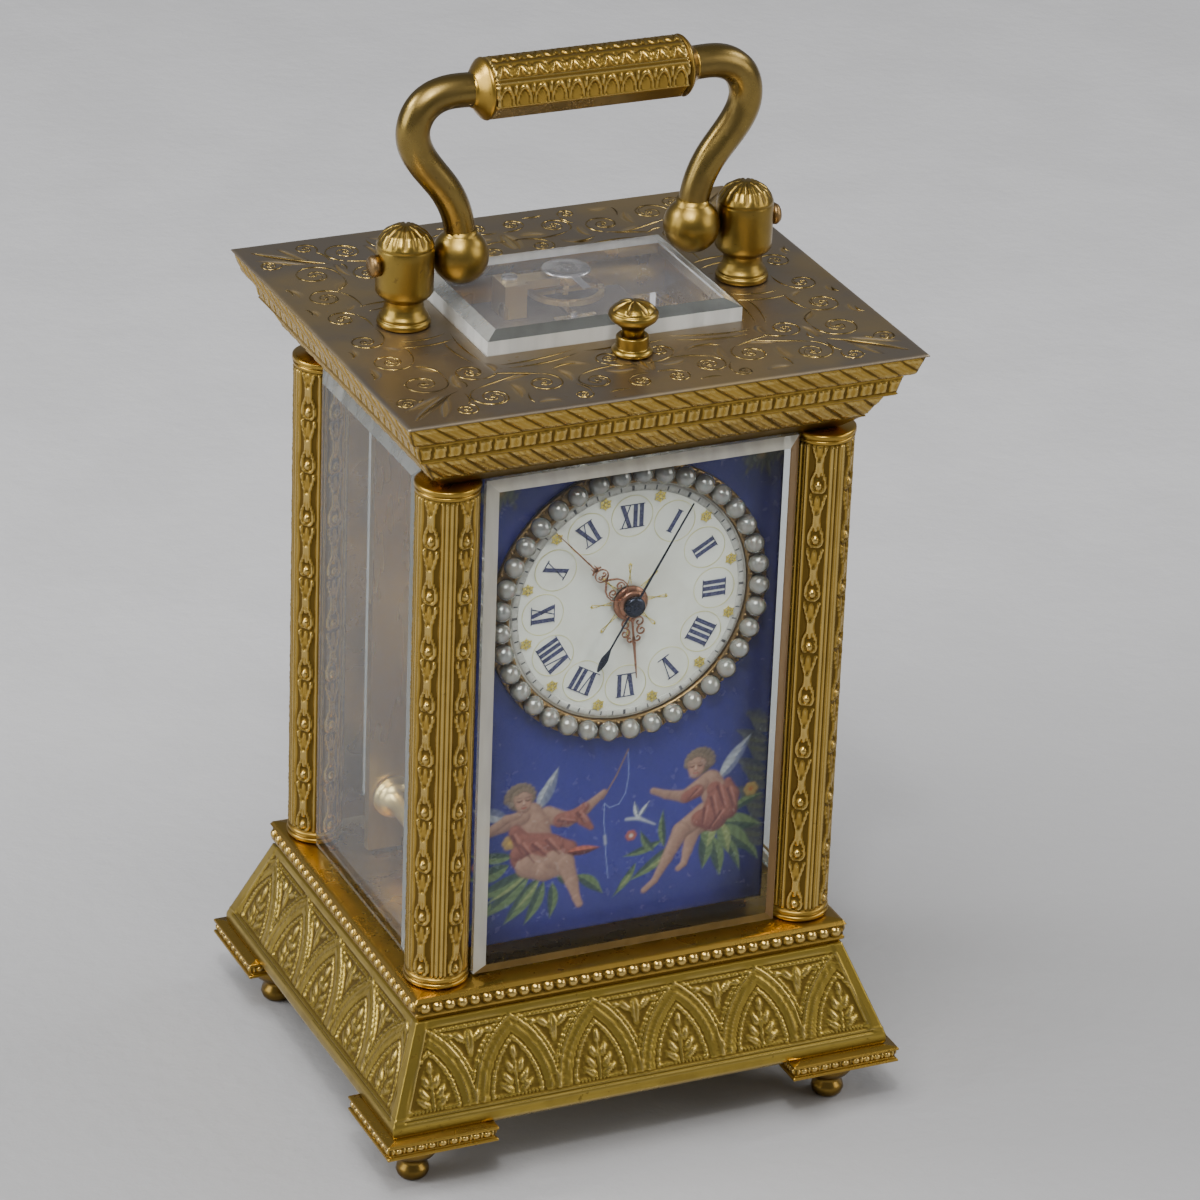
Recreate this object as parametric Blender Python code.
"""A miniature mantel clock of the carriage type, modelled as an assembly.

Metres, +Z up. The front faces -Y and +X is to the right of it.
The origin is at the middle of the footprint, on the surface that the clock stands on.
"""

import math

import bmesh
import bpy
from mathutils import Matrix, Vector

MM = 0.001

# Driving dimensions of the case
DEPTH_LESS = 3.05 * MM          # every half depth is this much less than the half width
TOP_HALF = 24.0 * MM            # half width of the top plate
TOP_Z = 74.4 * MM               # upper face of the top plate
TOP_PLATE_Z = 72.2 * MM         # lower face of the top plate
CORNICE_Z = 66.3 * MM           # lower face of the cornice
BASE_TOP_Z = 18.3 * MM          # upper face of the base plate
BASE_LOW_Z = 15.9 * MM          # lower face of the base plate
PLINTH_LOW_Z = 6.6 * MM         # lower edge of the plinth
BLOCK_LOW_Z = 5.0 * MM          # lower face of the corner blocks
GAP = 0.1 * MM                  # gap between pieces that touch

COLUMN_X, COLUMN_Y, COLUMN_R = 17.57 * MM, 14.3 * MM, 2.75 * MM
FOOT_X, FOOT_Y = 20.45 * MM, 16.9 * MM
BLOCK_INNER, BLOCK_OUTER = (14.4 * MM, 12.4 * MM), (24.9 * MM, 22.0 * MM)
GLASS_T = 1.0 * MM
FRONT_GLASS_Y = 16.1 * MM       # outer plane of the front glass and of the rear door
SIDE_GLASS_X = 19.3 * MM        # outer plane of the side glasses

# Dial and hands
DIAL_Z = 51.6 * MM
DIAL_R = 11.3 * MM
MASK_Y = -13.0 * MM             # front face of the enamel panel
HOUR_ANGLE, MINUTE_ANGLE, SECOND_ANGLE = 173.7, 317.0, 30.0   # degrees clockwise from twelve

# Handle
PIVOT_Z = 80.1 * MM
POST_X = 16.0 * MM
BALL_X, BALL_R = 10.9 * MM, 2.5 * MM
GRIP_Z, GRIP_HALF, GRIP_R = 95.0 * MM, 9.9 * MM, 2.72 * MM

# Repeat button
BUTTON_Y = -12.2 * MM

# Movement
FRONT_PLATE_Y, BACK_PLATE_Y, PLATE_T = -11.2 * MM, 8.6 * MM, 1.0 * MM
THIRD = (5.0 * MM, 56.5 * MM)   # x and z of the third wheel's arbor
INTERMEDIATE = (-4.5 * MM, 43.0 * MM)
BARREL = (-0.5 * MM, 34.3 * MM)
ESCAPE = (0.0, -1.5 * MM)       # x and y of the escape wheel's upright arbor
PALLET = (1.0 * MM, 2.2 * MM)
BALANCE = (2.0 * MM, 6.5 * MM)
PLATFORM_Z = 68.6 * MM

# Rear door
DOOR_HALF, DOOR_LOW, DOOR_HIGH = 14.3 * MM, 18.6 * MM, 66.0 * MM
DOOR_Y, DOOR_T = 15.2 * MM, 0.9 * MM
HINGE_X, HINGE_Y = 13.9 * MM, 16.1 * MM

MATERIALS = {
    "gilt_brass": ((0.72, 0.48, 0.13), 0.32, 1.0),
    "engraved_gilt": ((0.50, 0.38, 0.18), 0.42, 1.0),
    "movement_brass": ((0.75, 0.58, 0.25), 0.28, 1.0),
    "steel": ((0.62, 0.62, 0.64), 0.25, 1.0),
    "blued_steel": ((0.05, 0.06, 0.12), 0.3, 1.0),
    "copper": ((0.62, 0.30, 0.18), 0.3, 1.0),
    "glass": ((0.9, 0.95, 0.93), 0.05, 0.0),
    "white_enamel": ((0.85, 0.85, 0.8), 0.15, 0.0),
    "blue_enamel": ((0.02, 0.04, 0.4), 0.15, 0.0),
    "pearl": ((0.85, 0.83, 0.78), 0.25, 0.0),
}


def clear_scene():
    for item in list(bpy.data.objects):
        bpy.data.objects.remove(item, do_unlink=True)


def material(name):
    found = bpy.data.materials.get(name)
    if found:
        return found
    colour, roughness, metallic = MATERIALS[name]
    made = bpy.data.materials.new(name)
    made.use_nodes = True
    shader = made.node_tree.nodes["Principled BSDF"]
    shader.inputs["Base Color"].default_value = (*colour, 1.0)
    shader.inputs["Roughness"].default_value = roughness
    shader.inputs["Metallic"].default_value = metallic
    return made


def finish(name, bm, finish_name, origin=(0.0, 0.0, 0.0), smooth=True):
    """Turns a bmesh that is in world coordinates into an object with its origin at the given place."""
    bmesh.ops.remove_doubles(bm, verts=bm.verts, dist=1e-7)
    bmesh.ops.recalc_face_normals(bm, faces=bm.faces)
    bmesh.ops.translate(bm, verts=bm.verts, vec=-Vector(origin))
    mesh = bpy.data.meshes.new(name)
    bm.to_mesh(mesh)
    bm.free()
    mesh.materials.append(material(finish_name))
    if smooth:
        mesh.shade_smooth()
        mesh.set_sharp_from_angle(angle=math.radians(35))
    made = bpy.data.objects.new(name, mesh)
    made.location = origin
    bpy.context.scene.collection.objects.link(made)
    return made


def combine(target, helper, operation):
    """Cuts a helper out of a piece, or joins it on, and keeps the helper out of the render."""
    helper.hide_render = True
    helper.display_type = "WIRE"
    change = target.modifiers.new(helper.name, "BOOLEAN")
    change.operation = operation
    change.object = helper
    change.solver = "EXACT"
    return target


def cut(target, *helpers):
    for helper in helpers:
        combine(target, helper, "DIFFERENCE")
    return target


def join(target, *helpers):
    for helper in helpers:
        combine(target, helper, "UNION")
    return target


def axis_matrix(axis, place):
    """Turns shapes made around +Z so that +Z points along the axis, at the given place."""
    turn = Vector((0, 0, 1)).rotation_difference(Vector(axis)).to_matrix().to_4x4()
    return Matrix.Translation(Vector(place)) @ turn


def turned(name, profile, finish_name, place, axis=(0, 0, 1), sides=16, origin=None):
    """A lathe shape: profile is a list of (radius, height), from one end of the axis to the other.

    A profile that starts and ends off the axis is closed into a ring.
    """
    bm = bmesh.new()
    verts = [bm.verts.new((radius, 0.0, height)) for radius, height in profile]
    edges = [bm.edges.new(pair) for pair in zip(verts, verts[1:])]
    if profile[0][0] > 0 and profile[-1][0] > 0:
        edges.append(bm.edges.new((verts[-1], verts[0])))
    bmesh.ops.spin(
        bm, geom=verts + edges, cent=(0, 0, 0), axis=(0, 0, 1), angle=2 * math.pi,
        steps=sides, use_merge=True,
    )
    bmesh.ops.remove_doubles(bm, verts=bm.verts, dist=1e-7)
    bmesh.ops.transform(bm, matrix=axis_matrix(axis, place), verts=bm.verts)
    return finish(name, bm, finish_name, origin or place)


def rod(name, radius, start, end, finish_name, sides=12, origin=None):
    """A plain round rod between two points."""
    start, end = Vector(start), Vector(end)
    length = (end - start).length
    profile = [(0.0, 0.0), (radius, 0.0), (radius, length), (0.0, length)]
    return turned(name, profile, finish_name, start, end - start, sides, origin)


def block(name, low, high, finish_name, origin=(0.0, 0.0, 0.0)):
    bm = bmesh.new()
    low, high = Vector(low), Vector(high)
    size = high - low
    place = Matrix.Translation((low + high) / 2) @ Matrix.Diagonal((*size, 1.0))
    bmesh.ops.create_cube(bm, size=1.0, matrix=place)
    return finish(name, bm, finish_name, origin, smooth=False)


def moulding(name, profile, finish_name, hollow=None):
    """A rectangular moulding from (half width, height) points; hollow is its inner (half x, half y)."""
    bm = bmesh.new()

    def ring(half_x, half_y, height):
        corners = ((-1, -1), (1, -1), (1, 1), (-1, 1))
        return [bm.verts.new((x * half_x, y * half_y, height)) for x, y in corners]

    rings = [ring(half, half - DEPTH_LESS, height) for half, height in profile]
    if hollow:
        rings.append(ring(*hollow, profile[-1][1]))
        rings.append(ring(*hollow, profile[0][1]))
        rings.append(rings[0])
    else:
        bm.faces.new(rings[0])
        bm.faces.new(rings[-1])
    for lower, upper in zip(rings, rings[1:]):
        for i in range(4):
            j = (i + 1) % 4
            bm.faces.new((lower[i], lower[j], upper[j], upper[i]))
    return finish(name, bm, finish_name, smooth=False)


def slab(name, outline, low_y, high_y, finish_name, origin=(0.0, 0.0, 0.0)):
    """An upright plate: an outline of (x, z) points between two depths."""
    bm = bmesh.new()
    face = bm.faces.new([bm.verts.new((x, low_y, z)) for x, z in outline])
    grown = bmesh.ops.extrude_face_region(bm, geom=[face])["geom"]
    moved = [item for item in grown if isinstance(item, bmesh.types.BMVert)]
    bmesh.ops.translate(bm, verts=moved, vec=(0, high_y - low_y, 0))
    return finish(name, bm, finish_name, origin, smooth=False)


def swept(name, points, radii, finish_name, sides=12, origin=(0.0, 0.0, 0.0), turn=0.0):
    """A tube along points in an upright plane of constant y, with a radius at each point."""
    bm = bmesh.new()
    points = [Vector(point) for point in points]
    across = Vector((0, 1, 0))
    rings = []
    for i, (point, radius) in enumerate(zip(points, radii)):
        along = points[min(i + 1, len(points) - 1)] - points[max(i - 1, 0)]
        side = along.cross(across).normalized()
        angles = [turn + 2 * math.pi * step / sides for step in range(sides)]
        rings.append([
            bm.verts.new(point + radius * (math.cos(a) * side + math.sin(a) * across)) for a in angles
        ])
    for lower, upper in zip(rings, rings[1:]):
        for i in range(sides):
            j = (i + 1) % sides
            bm.faces.new((lower[i], lower[j], upper[j], upper[i]))
    bm.faces.new(rings[0])
    bm.faces.new(rings[-1])
    return finish(name, bm, finish_name, origin)


def smooth_path(points, steps=4):
    """A Catmull-Rom curve through the points, with a few steps between each two."""
    points = [Vector(point) for point in points]
    ends = [2 * points[0] - points[1]] + points + [2 * points[-1] - points[-2]]
    path = []
    for a, b, c, d in zip(ends, ends[1:], ends[2:], ends[3:]):
        for step in range(steps):
            t = step / steps
            path.append(0.5 * (2 * b + (c - a) * t + (2 * a - 5 * b + 4 * c - d) * t ** 2
                               + (3 * b - a - 3 * c + d) * t ** 3))
    path.append(points[-1])
    return path


def toothed(name, teeth, tip_r, thickness, finish_name, place, axis, origin, depth=0.35 * MM):
    """A wheel with straight-sided teeth, standing on its place along its axis."""
    bm = bmesh.new()
    outline = []
    pitch = 2 * math.pi / teeth
    for tooth in range(teeth):
        for part, radius in ((-0.32, tip_r - depth), (-0.14, tip_r), (0.14, tip_r), (0.32, tip_r - depth)):
            angle = pitch * (tooth + part)
            outline.append(bm.verts.new((radius * math.cos(angle), radius * math.sin(angle), 0)))
    face = bm.faces.new(outline)
    grown = bmesh.ops.extrude_face_region(bm, geom=[face])["geom"]
    moved = [item for item in grown if isinstance(item, bmesh.types.BMVert)]
    bmesh.ops.translate(bm, verts=moved, vec=(0, 0, thickness))
    bmesh.ops.transform(bm, matrix=axis_matrix(axis, place), verts=bm.verts)
    return finish(name, bm, finish_name, origin, smooth=False)


def corners():
    """The four corners as (number, x sign, y sign): front left, front right, rear right, rear left."""
    return ((1, -1, -1), (2, 1, -1), (3, 1, 1), (4, -1, 1))


def make_base():
    moulding(
        "plinth",
        [(23.85 * MM, PLINTH_LOW_Z), (23.85 * MM, 7.3 * MM), (20.5 * MM, BASE_LOW_Z - GAP)],
        "gilt_brass", hollow=(18.4 * MM, 15.3 * MM),
    )
    block(
        "bottom_cover", (-18.2 * MM, -15.1 * MM, 6.9 * MM), (18.2 * MM, 15.1 * MM, 7.7 * MM),
        "movement_brass",
    )
    moulding(
        "base_plate",
        [(20.3 * MM, BASE_LOW_Z), (20.8 * MM, 16.2 * MM), (21.15 * MM, 16.9 * MM),
         (20.95 * MM, 17.7 * MM), (20.95 * MM, BASE_TOP_Z)],
        "gilt_brass",
    )
    for number, x, y in corners():
        xs = sorted((x * BLOCK_INNER[0], x * BLOCK_OUTER[0]))
        ys = sorted((y * BLOCK_INNER[1], y * BLOCK_OUTER[1]))
        corner = block(
            f"foot_{number}", (xs[0], ys[0], BLOCK_LOW_Z), (xs[1], ys[1], PLINTH_LOW_Z - GAP), "gilt_brass")
        knob = turned(
            f"foot_knob_{number}",
            [(0.0, 0.0), (1.05 * MM, 0.0), (1.3 * MM, 0.5 * MM), (1.3 * MM, 1.3 * MM), (0.95 * MM, 1.9 * MM),
             (0.95 * MM, 2.6 * MM), (1.95 * MM, 3.3 * MM), (1.95 * MM, 4.0 * MM), (1.3 * MM, 4.6 * MM),
             (1.3 * MM, BLOCK_LOW_Z + 0.5 * MM), (0.0, BLOCK_LOW_Z + 0.5 * MM)],
            "gilt_brass", (x * FOOT_X, y * FOOT_Y, 0.0), sides=12,
        )
        join(corner, knob)


def make_case():
    ring_r = 2.9 * MM
    height = CORNICE_Z - BASE_TOP_Z - 2 * GAP
    for number, x, y in corners():
        turned(
            f"column_{number}",
            [(0.0, 0.0), (ring_r, 0.0), (ring_r, 0.9 * MM), (COLUMN_R, 1.3 * MM), (COLUMN_R, height - 1.3 * MM),
             (ring_r, height - 0.9 * MM), (ring_r, height), (0.0, height)],
            "gilt_brass", (x * COLUMN_X, y * COLUMN_Y, BASE_TOP_Z + GAP),
        )
    moulding(
        "cornice_frame",
        [(19.3 * MM, CORNICE_Z), (19.6 * MM, 66.9 * MM), (20.3 * MM, 67.8 * MM), (20.7 * MM, 68.8 * MM),
         (21.0 * MM, 69.3 * MM), (21.6 * MM, 70.2 * MM), (22.4 * MM, 70.7 * MM), (22.7 * MM, 71.2 * MM),
         (22.7 * MM, 71.7 * MM), (22.5 * MM, TOP_PLATE_Z - GAP)],
        "gilt_brass", hollow=(15.0 * MM, 13.6 * MM),
    )
    top_plate = moulding(
        "top_plate",
        [(22.7 * MM, TOP_PLATE_Z), (23.0 * MM, 72.6 * MM), (23.6 * MM, 73.4 * MM), (TOP_HALF, 74.0 * MM),
         (TOP_HALF, TOP_Z)],
        "engraved_gilt", hollow=(12.05 * MM, 8.95 * MM),
    )
    cut(top_plate, rod("button_hole", 1.25 * MM, (0, BUTTON_Y, 70 * MM), (0, BUTTON_Y, 76 * MM), "steel"))


def bevelled_glass(name, half_a, half_b, low, high, inset, place, axis, origin=(0.0, 0.0, 0.0)):
    """A glass plate with a bevelled outer face. half_a and half_b lie across the axis, inner face to outer."""
    bm = bmesh.new()
    levels = ((half_a, half_b, low), (half_a, half_b, high - 0.45 * MM), (half_a - inset, half_b - inset, high))
    rings = []
    for wide, tall, height in levels:
        rings.append([
            bm.verts.new((x * wide, y * tall, height)) for x, y in ((-1, -1), (1, -1), (1, 1), (-1, 1))
        ])
    bm.faces.new(rings[0])
    bm.faces.new(rings[-1])
    for lower, upper in zip(rings, rings[1:]):
        for i in range(4):
            j = (i + 1) % 4
            bm.faces.new((lower[i], lower[j], upper[j], upper[i]))
    columns = {"z": Matrix.Identity(4), "-y": Matrix.Rotation(math.pi / 2, 4, "X"),
               "x": Matrix.Rotation(math.pi / 2, 4, "Z") @ Matrix.Rotation(math.pi / 2, 4, "X"),
               "-x": Matrix.Rotation(-math.pi / 2, 4, "Z") @ Matrix.Rotation(math.pi / 2, 4, "X"),
               "y": Matrix.Rotation(math.pi, 4, "Z") @ Matrix.Rotation(math.pi / 2, 4, "X")}
    bmesh.ops.transform(bm, matrix=Matrix.Translation(place) @ columns[axis], verts=bm.verts)
    return finish(name, bm, "glass", origin, smooth=False)


def make_glasses():
    middle_z = (BASE_TOP_Z + CORNICE_Z) / 2
    half_tall = (CORNICE_Z - BASE_TOP_Z) / 2 - 2 * GAP
    bevelled_glass(
        "top_glass", 11.9 * MM, 8.8 * MM, 73.2 * MM, 76.2 * MM, 1.2 * MM, (0, 0, 0), "z")
    bevelled_glass(
        "front_glass", 14.6 * MM, half_tall, 0, GLASS_T, 1.0 * MM,
        (0, -FRONT_GLASS_Y + GLASS_T, middle_z), "-y")
    for name, side, axis in (("left_glass", -1, "-x"), ("right_glass", 1, "x")):
        bevelled_glass(
            name, 11.4 * MM, half_tall, 0, GLASS_T, 1.0 * MM,
            (side * (SIDE_GLASS_X - GLASS_T), 0, middle_z), axis)


def make_door():
    """The rear door: a frame that turns on an upright pin, with its glass and knob."""
    stile = 2.0 * MM
    axis_place = (HINGE_X, HINGE_Y, DOOR_LOW)
    frame = slab(
        "door_frame",
        [(-DOOR_HALF, DOOR_LOW), (DOOR_HALF, DOOR_LOW), (DOOR_HALF, DOOR_HIGH), (-DOOR_HALF, DOOR_HIGH)],
        DOOR_Y, DOOR_Y + DOOR_T, "gilt_brass", origin=axis_place,
    )
    hole_low, hole_high = DOOR_LOW + stile, DOOR_HIGH - stile
    window = block(
        "door_window", (-DOOR_HALF + stile, DOOR_Y - MM, hole_low),
        (DOOR_HALF - stile, DOOR_Y + DOOR_T + MM, hole_high), "steel")
    cut(frame, window)
    knuckle = rod(
        "door_knuckle", 0.8 * MM, axis_place, (HINGE_X, HINGE_Y, DOOR_HIGH), "gilt_brass")
    join(frame, knuckle)
    bore = rod(
        "door_bore", 0.45 * MM, (HINGE_X, HINGE_Y, DOOR_LOW - MM), (HINGE_X, HINGE_Y, DOOR_HIGH + MM), "steel")
    cut(frame, bore)
    rod(
        "door_hinge_pin", 0.36 * MM, (HINGE_X, HINGE_Y, BASE_TOP_Z + GAP),
        (HINGE_X, HINGE_Y, CORNICE_Z - GAP), "steel", sides=12)
    middle_z = (DOOR_LOW + DOOR_HIGH) / 2
    bevelled_glass(
        "door_glass", DOOR_HALF - stile - GAP, (DOOR_HIGH - DOOR_LOW) / 2 - stile - GAP, 0, DOOR_T,
        1.0 * MM, (0, DOOR_Y, middle_z), "y", origin=axis_place)
    turned(
        "door_knob",
        [(0.0, 0.0), (0.45 * MM, 0.0), (0.45 * MM, 0.6 * MM), (0.95 * MM, 1.0 * MM), (1.0 * MM, 1.6 * MM),
         (0.6 * MM, 2.0 * MM), (0.0, 2.1 * MM)],
        "gilt_brass", (-DOOR_HALF + 1.0 * MM, DOOR_Y + DOOR_T + GAP, middle_z), axis=(0, 1, 0), sides=16,
        origin=axis_place,
    )


def make_handle():
    """The swinging handle on two turned posts. It turns about the line through both pivot screws."""
    pivot = (0.0, 0.0, PIVOT_Z)
    arm = [(10.9, 80.1), (11.15, 82.5), (11.6, 84.6), (12.7, 86.6), (14.3, 88.4), (15.4, 90.3),
           (15.6, 92.3), (14.8, 94.0), (13.3, 95.0), (11.5, 95.2), (10.05, 95.1)]
    for side, word in ((-1, "left"), (1, "right")):
        path = smooth_path([(side * x * MM, 0.0, z * MM) for x, z in arm], steps=2)
        radii = [(1.38 + 0.10 * i / (len(path) - 1)) * MM for i in range(len(path))]
        tube = swept(f"handle_arm_{word}", path, radii, "gilt_brass", sides=10, origin=pivot)
        ball_profile = [
            (BALL_R * math.sin(math.pi * step / 8), -BALL_R * math.cos(math.pi * step / 8)) for step in range(9)
        ]
        ball_profile[0] = (0.0, -BALL_R)
        ball_profile[-1] = (0.0, BALL_R)
        ball = turned(
            f"ball_{word}", ball_profile, "gilt_brass", (side * BALL_X, 0, PIVOT_Z), axis=(side, 0, 0), sides=14)
        join(tube, ball)
        shank_end = side * (BALL_X + 0.3 * MM)
        socket = rod(
            f"socket_{word}", 0.62 * MM, (shank_end - side * 0.1 * MM, 0, PIVOT_Z), (side * 14 * MM, 0, PIVOT_Z),
            "steel", sides=12)
        cut(tube, socket)
        post = turned(
            f"handle_post_{word}",
            [(0.0, 0.0), (2.35 * MM, 0.0), (2.35 * MM, 0.6 * MM), (1.75 * MM, 1.6 * MM), (1.7 * MM, 2.3 * MM),
             (2.2 * MM, 2.7 * MM), (2.52 * MM, 3.1 * MM), (2.52 * MM, 6.9 * MM), (2.25 * MM, 7.9 * MM),
             (1.4 * MM, 8.7 * MM), (0.0, 9.05 * MM)],
            "gilt_brass", (side * POST_X, 0, TOP_Z + GAP),
        )
        hole = rod(
            f"post_hole_{word}", 0.62 * MM, (side * 12.9 * MM, 0, PIVOT_Z), (side * 19.5 * MM, 0, PIVOT_Z),
            "steel", sides=12)
        cut(post, hole)
        turned(
            f"pivot_screw_{word}",
            [(0.0, 0.0), (0.52 * MM, 0.0), (0.52 * MM, 7.5 * MM), (0.85 * MM, 7.5 * MM), (0.85 * MM, 7.9 * MM),
             (0.6 * MM, 8.1 * MM), (0.0, 8.1 * MM)],
            "steel", (shank_end, 0, PIVOT_Z), axis=(side, 0, 0), sides=12,
        )
    grip_points = [-GRIP_HALF, -GRIP_HALF + 0.4 * MM, -GRIP_HALF + 0.9 * MM, GRIP_HALF - 0.9 * MM,
                   GRIP_HALF - 0.4 * MM, GRIP_HALF]
    grip_radii = [1.7 * MM, 2.4 * MM, GRIP_R, GRIP_R, 2.4 * MM, 1.7 * MM]
    swept(
        "handle_grip", [(x, 0.0, GRIP_Z) for x in grip_points], grip_radii, "gilt_brass", sides=8,
        origin=pivot, turn=math.pi / 8)


def make_button():
    place = (0.0, BUTTON_Y, 70.6 * MM)
    turned(
        "repeat_button",
        [(0.0, 0.0), (0.95 * MM, 0.0), (0.95 * MM, 6.3 * MM), (1.5 * MM, 6.9 * MM), (2.15 * MM, 7.2 * MM),
         (2.15 * MM, 7.7 * MM), (1.4 * MM, 8.3 * MM), (0.0, 8.6 * MM)],
        "gilt_brass", place,
    )
    turned(
        "button_bush",
        [(1.1 * MM, 0.0), (1.8 * MM, 0.0), (1.8 * MM, 0.4 * MM), (1.45 * MM, 0.6 * MM), (1.45 * MM, 1.6 * MM),
         (1.1 * MM, 1.6 * MM)],
        "gilt_brass", (0.0, BUTTON_Y, TOP_Z + GAP),
    )
    pivot = (7.0 * MM, BUTTON_Y, 69.0 * MM)
    slab(
        "repeat_lever",
        [(-1.2 * MM, 69.6 * MM), (-1.2 * MM, 70.3 * MM), (1.2 * MM, 70.3 * MM), (6.0 * MM, 69.9 * MM),
         (7.8 * MM, 69.7 * MM), (7.8 * MM, 66.9 * MM), (7.0 * MM, 66.9 * MM), (6.2 * MM, 68.6 * MM)],
        BUTTON_Y + 0.25 * MM, BUTTON_Y + 0.75 * MM, "steel", origin=pivot,
    )


def hand_outline(length, tail, half, waist):
    """One half of a tapered hand, from its tail to its tip, as (across, along) points."""
    return [(-half, -tail), (half, -tail), (half * 0.8, 0.0), (waist, 0.3 * length), (half, 0.42 * length),
            (waist, 0.55 * length), (0.06 * MM, length), (-0.06 * MM, length), (-waist, 0.55 * length),
            (-half, 0.42 * length), (-waist, 0.3 * length), (-half * 0.8, 0.0)]


def make_hand(name, angle, outline, front_y, back_y, hub_r, hub, bore_r, finish_name):
    """A hand at its angle clockwise from twelve, with a round hub that has a bore."""
    a = math.radians(angle)
    turn = [(x * math.cos(a) + z * math.sin(a), DIAL_Z - x * math.sin(a) + z * math.cos(a)) for x, z in outline]
    origin = (0.0, front_y, DIAL_Z)
    blade = slab(name, turn, front_y, back_y, finish_name, origin=origin)
    boss = rod(
        name + "_boss", hub_r, (0, hub[0], DIAL_Z), (0, hub[1], DIAL_Z), finish_name, sides=14)
    join(blade, boss)
    if bore_r:
        bore = rod(
            name + "_bore", bore_r, (0, hub[0] - MM, DIAL_Z), (0, hub[1] + MM, DIAL_Z), finish_name)
        cut(blade, bore)


def make_dial():
    mask = block(
        "dial_mask", (-14.5 * MM, MASK_Y, 19.6 * MM), (14.5 * MM, MASK_Y + 0.7 * MM, 65.8 * MM), "blue_enamel")
    cut(mask, rod("mask_hole", 1.4 * MM, (0, -15 * MM, DIAL_Z), (0, -11 * MM, DIAL_Z), "steel"))
    front = MASK_Y - 0.05 * MM
    turned(
        "dial_disc",
        [(1.4 * MM, 0.0), (DIAL_R, 0.0), (DIAL_R, 0.12 * MM), (DIAL_R - 0.4 * MM, 0.25 * MM),
         (1.4 * MM, 0.3 * MM)],
        "white_enamel", (0, front, DIAL_Z), axis=(0, -1, 0), sides=32,
    )
    inner, outer = DIAL_R + 0.05 * MM, 13.15 * MM
    middle, half = (inner + outer) / 2, (outer - inner) / 2
    crown = [
        (middle + half * math.cos(a), 0.35 * MM + half * math.sin(a)) for a in (0.0, 0.25 * math.pi, 0.5 * math.pi,
                                                                               0.75 * math.pi, math.pi)
    ]
    turned(
        "pearl_ring", [(inner, 0.0), (outer, 0.0)] + crown, "pearl", (0, front, DIAL_Z), axis=(0, -1, 0),
        sides=32,
    )
    make_hand(
        "hour_hand", HOUR_ANGLE, hand_outline(7.4 * MM, 0.6 * MM, 0.9 * MM, 0.35 * MM), -13.9 * MM,
        -13.75 * MM, 1.6 * MM, (-13.95 * MM, -13.5 * MM), 1.2 * MM, "copper")
    make_hand(
        "minute_hand", MINUTE_ANGLE, hand_outline(10.7 * MM, 0.6 * MM, 0.8 * MM, 0.3 * MM), -14.25 * MM,
        -14.1 * MM, 1.35 * MM, (-14.35 * MM, -14.0 * MM), 0.8 * MM, "copper")
    second = [(-0.1, -4.2), (-0.45, -5.4), (0.0, -6.6), (0.45, -5.4), (0.1, -4.2), (0.05, 10.45), (-0.05, 10.45)]
    make_hand(
        "seconds_hand", SECOND_ANGLE, [(x * MM, z * MM) for x, z in second], -14.65 * MM, -14.53 * MM, 0.95 * MM,
        (-14.95 * MM, -14.45 * MM), 0.0, "blued_steel")


def wheel(name, teeth, tip_r, wheel_y, arbor, place, pinions=(), bore_r=0.0):
    """A toothed wheel on its arbor, both along Y. arbor is (radius, front y, rear y) and so is a pinion."""
    x, z = place
    origin = (x, wheel_y, z)
    made = toothed(name, teeth, tip_r, 0.55 * MM, "movement_brass", origin, (0, 1, 0), origin)
    radius, front, rear = arbor
    join(made, rod(name + "_arbor", radius, (x, front, z), (x, rear, z), "steel", sides=12))
    for number, (pinion_r, low, high) in enumerate(pinions):
        join(made, rod(f"{name}_pinion_{number}", pinion_r, (x, low, z), (x, high, z), "steel", sides=12))
    if bore_r:
        cut(made, rod(name + "_bore", bore_r, (x, front - MM, z), (x, rear + MM, z), "steel", sides=12))
    return made


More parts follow.
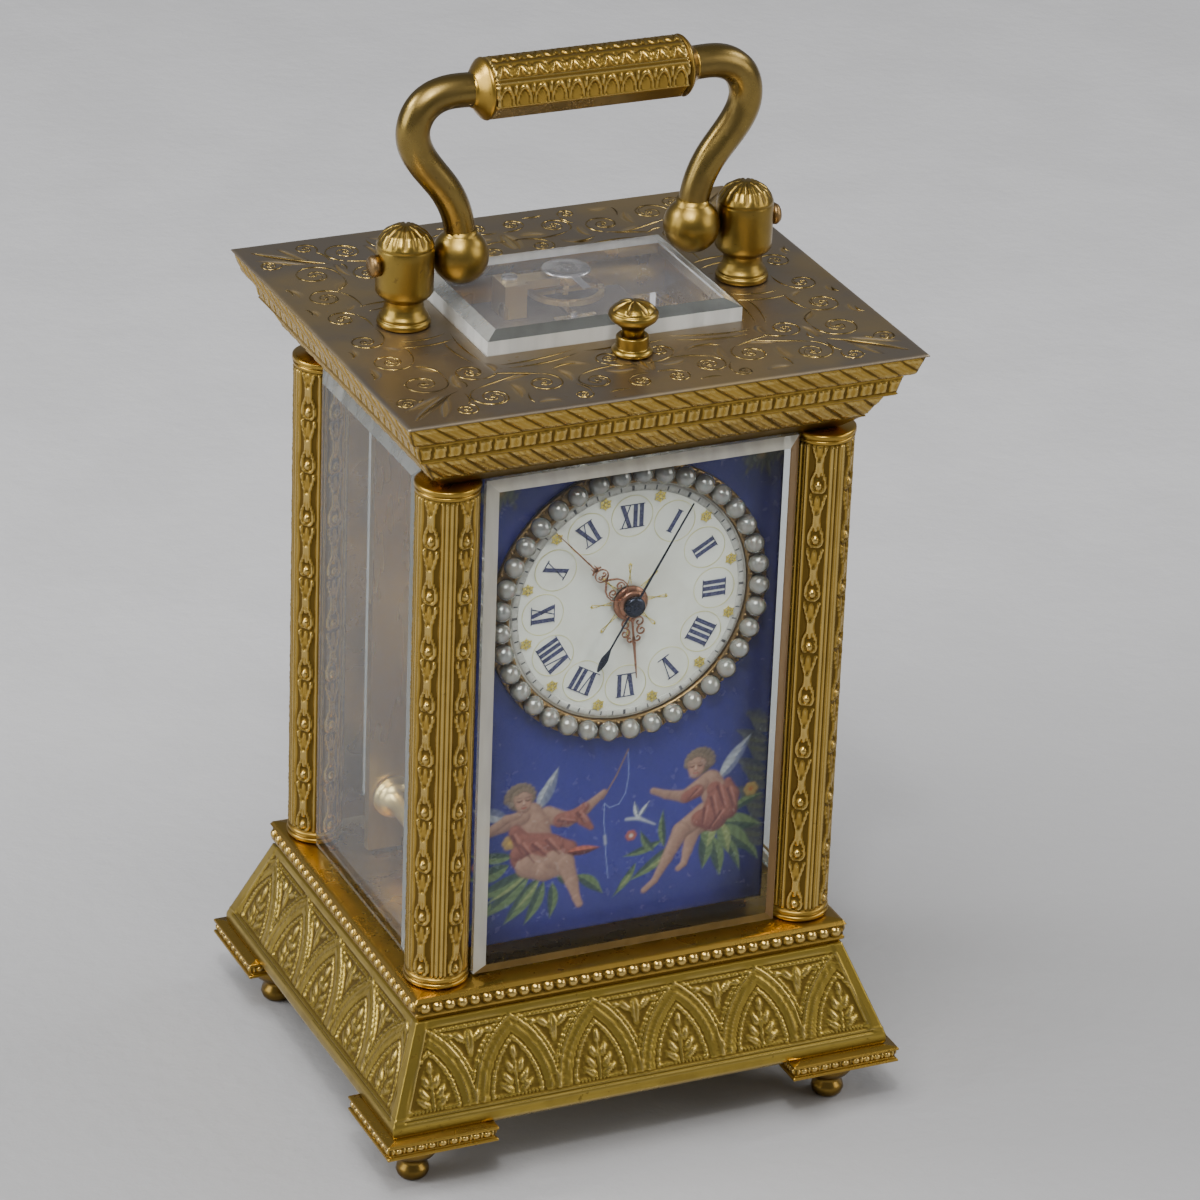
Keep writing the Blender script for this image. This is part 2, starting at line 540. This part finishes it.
def make_movement():
    shoulder, low, high, top = 9.0 * MM, BASE_TOP_Z + 0.3 * MM, 63.0 * MM, PLATFORM_Z - GAP
    half = 14.3 * MM
    outline = [(-half, low), (half, low), (half, high), (shoulder, high), (shoulder, top), (-shoulder, top),
               (-shoulder, high), (-half, high)]
    front = slab("front_movement_plate", outline, FRONT_PLATE_Y, FRONT_PLATE_Y + PLATE_T, "movement_brass")
    back = slab("back_movement_plate", outline, BACK_PLATE_Y, BACK_PLATE_Y + PLATE_T, "movement_brass")
    cut(front, rod("cannon_hole", 1.0 * MM, (0, -12 * MM, DIAL_Z), (0, -10 * MM, DIAL_Z), "steel"))
    cut(back, rod("winding_hole", 1.3 * MM, (BARREL[0], 8 * MM, BARREL[1]), (BARREL[0], 10 * MM, BARREL[1]),
                  "steel"))
    inner_front, inner_back = FRONT_PLATE_Y + PLATE_T + GAP, BACK_PLATE_Y - GAP
    length = inner_back - inner_front
    for number, x, z in ((1, -1, 24.0), (2, 1, 24.0), (3, 1, 60.5), (4, -1, 60.5)):
        turned(
            f"pillar_{number}",
            [(0.0, 0.0), (2.0 * MM, 0.0), (2.0 * MM, 1.0 * MM), (1.3 * MM, 1.6 * MM), (1.3 * MM, length - 1.6 * MM),
             (2.0 * MM, length - 1.0 * MM), (2.0 * MM, length), (0.0, length)],
            "movement_brass", (x * 12.0 * MM, inner_front, z * MM), axis=(0, 1, 0), sides=10,
        )
    # Going train: barrel, intermediate, centre, third and fourth wheels
    bx, bz = BARREL
    turned(
        "going_barrel",
        [(1.0 * MM, 0.0), (8.1 * MM, 0.0), (8.1 * MM, 0.7 * MM), (7.7 * MM, 0.7 * MM), (7.7 * MM, 10.4 * MM),
         (7.0 * MM, 10.4 * MM), (7.0 * MM, 1.4 * MM), (1.0 * MM, 1.4 * MM)],
        "movement_brass", (bx, -6.3 * MM, bz), axis=(0, 1, 0), sides=24,
    )
    spring = []
    turns, steps, inner, outer = 3, 16, 2.2 * MM, 6.4 * MM
    for step in range(turns * steps + 1):
        share = step / (turns * steps)
        angle = 2 * math.pi * turns * share
        radius = inner + (outer - inner) * share
        spring.append((bx + radius * math.cos(angle), bz + radius * math.sin(angle), angle))
    outer_side = [(x + 0.13 * MM * math.cos(a), z + 0.13 * MM * math.sin(a)) for x, z, a in spring]
    inner_side = [(x - 0.13 * MM * math.cos(a), z - 0.13 * MM * math.sin(a)) for x, z, a in spring]
    slab("mainspring", outer_side + inner_side[::-1], -4.6 * MM, 3.6 * MM, "steel",
         origin=(bx, -4.6 * MM, bz))
    turned(
        "winding_arbor",
        [(0.0, 0.0), (0.9 * MM, 0.0), (0.9 * MM, 3.3 * MM), (1.3 * MM, 3.6 * MM), (1.3 * MM, 10.6 * MM),
         (1.15 * MM, 15.5 * MM), (1.15 * MM, 19.0 * MM), (0.85 * MM, 19.0 * MM), (0.85 * MM, 22.5 * MM), (0.0, 22.5 * MM)],
        "steel", (bx, -7.8 * MM, bz), axis=(0, 1, 0), sides=12,
    )
    wheel("intermediate_wheel", 32, 8.5 * MM, -8.5 * MM, (0.45 * MM, -10.0 * MM, 8.4 * MM), INTERMEDIATE,
          pinions=[(1.2 * MM, -7.9 * MM, -5.4 * MM)])
    wheel("centre_wheel", 24, 6.0 * MM, -9.7 * MM, (0.72 * MM, -14.3 * MM, -6.9 * MM), (0.0, DIAL_Z),
          pinions=[(1.1 * MM, -9.2 * MM, -7.4 * MM)], bore_r=0.46 * MM)
    wheel("third_wheel", 24, 5.95 * MM, -6.6 * MM, (0.4 * MM, -10.0 * MM, 8.4 * MM), THIRD,
          pinions=[(0.9 * MM, -9.8 * MM, -8.9 * MM)])
    wheel("fourth_wheel", 24, 5.0 * MM, -3.3 * MM, (0.36 * MM, -14.35 * MM, 8.4 * MM), (0.0, DIAL_Z),
          pinions=[(0.95 * MM, -6.8 * MM, -5.4 * MM)])
    wheel("hour_wheel", 20, 4.2 * MM, -12.1 * MM, (1.1 * MM, -13.85 * MM, -11.6 * MM), (0.0, DIAL_Z),
          bore_r=0.82 * MM)


def make_platform():
    """The escapement on its own plate, under the top glass."""
    plate = block(
        "platform_plate", (-8.5 * MM, FRONT_PLATE_Y, PLATFORM_Z), (8.5 * MM, 9.6 * MM, PLATFORM_Z + 0.8 * MM),
        "movement_brass")
    ex, ey = ESCAPE
    cut(plate, rod("escape_hole", 0.7 * MM, (ex, ey, 67 * MM), (ex, ey, 71 * MM), "steel", sides=12))
    escape_place = (ex, ey, 69.6 * MM)
    escape = toothed(
        "escape_wheel", 15, 2.3 * MM, 0.3 * MM, "movement_brass", escape_place, (0, 0, 1), escape_place,
        depth=0.6 * MM)
    join(escape, rod("escape_arbor", 0.3 * MM, (ex, ey, 54.4 * MM), (ex, ey, 70.3 * MM), "steel", sides=10))
    join(escape, rod("escape_pinion", 0.75 * MM, (ex, ey, 54.8 * MM), (ex, ey, 56.5 * MM), "steel", sides=10))
    px, py = PALLET
    pallet_place = (px, py, 70.15 * MM)
    pallet = block(
        "pallet_lever", (px - 0.3 * MM, py - 1.5 * MM, 70.1 * MM), (px + 0.3 * MM, py + 3.0 * MM, 70.4 * MM),
        "steel", origin=pallet_place)
    join(pallet, block("pallet_arms", (px - 2.0 * MM, py - 0.6 * MM, 70.1 * MM),
                       (px + 2.0 * MM, py + 0.1 * MM, 70.4 * MM), "steel"))
    join(pallet, rod("pallet_staff", 0.25 * MM, (px, py, 69.5 * MM), (px, py, 70.7 * MM), "steel", sides=10))
    wx, wy = BALANCE
    rim_r = 3.5 * MM
    balance_place = (wx, wy, 70.8 * MM)
    balance = turned(
        "balance_wheel",
        [(rim_r - 0.5 * MM, 0.0), (rim_r, 0.0), (rim_r, 0.45 * MM), (rim_r - 0.5 * MM, 0.45 * MM)],
        "movement_brass", balance_place, sides=20)
    join(balance, block("balance_arm", (wx - rim_r + 0.2 * MM, wy - 0.3 * MM, 70.85 * MM),
                        (wx + rim_r - 0.2 * MM, wy + 0.3 * MM, 71.15 * MM), "movement_brass"))
    join(balance, rod("balance_staff", 0.28 * MM, (wx, wy, 70.55 * MM), (wx, wy, 71.75 * MM), "steel", sides=10))
    cock = block(
        "balance_cock", (wx - 6.4 * MM, wy - 0.9 * MM, 71.85 * MM), (wx + 0.9 * MM, wy + 0.9 * MM, 72.6 * MM),
        "movement_brass")
    join(cock, block("cock_foot", (wx - 6.4 * MM, wy - 1.5 * MM, PLATFORM_Z + 0.8 * MM + GAP),
                     (wx - 4.3 * MM, wy + 1.5 * MM, 72.6 * MM), "movement_brass"))
    join(cock, rod("cock_boss", 1.35 * MM, (wx, wy, 71.85 * MM), (wx, wy, 72.85 * MM), "steel", sides=12))


def make_strike():
    """The gong behind the movement and the hammer that strikes it."""
    gong_y, radius = 11.6 * MM, 10.5 * MM
    bx, bz = BARREL
    steps = 26
    start, sweep = math.radians(-80), math.radians(320)
    path = []
    for step in range(steps + 1):
        angle = start + sweep * step / steps
        path.append((bx + radius * math.cos(angle), gong_y, bz + radius * math.sin(angle)))
    gong = swept("gong", path, [0.4 * MM] * len(path), "blued_steel", sides=6)
    end = path[0]
    join(gong, block("gong_stand", (end[0] - 1.2 * MM, BACK_PLATE_Y + PLATE_T + GAP, end[2] - 1.0 * MM),
                     (end[0] + 0.8 * MM, 12.4 * MM, end[2] + 1.0 * MM), "movement_brass"))
    pivot = (-10.5 * MM, 10.6 * MM, 57.0 * MM)
    hammer = slab(
        "hammer",
        [(-11.1 * MM, 58.0 * MM), (-9.9 * MM, 58.0 * MM), (-9.2 * MM, 46.5 * MM), (-9.9 * MM, 46.5 * MM)],
        10.6 * MM, 11.2 * MM, "steel", origin=pivot)
    join(hammer, rod("hammer_head", 1.2 * MM, (-9.2 * MM, 10.4 * MM, 45.6 * MM), (-9.2 * MM, 13.0 * MM, 45.6 * MM),
                     "steel", sides=16))
    join(hammer, rod("hammer_pivot", 0.8 * MM, (pivot[0], 9.75 * MM, pivot[2]), (pivot[0], 11.6 * MM, pivot[2]),
                     "steel", sides=12))


def main():
    clear_scene()
    make_base()
    make_case()
    make_glasses()
    make_door()
    make_handle()
    make_button()
    make_dial()
    make_movement()
    make_platform()
    make_strike()


main()
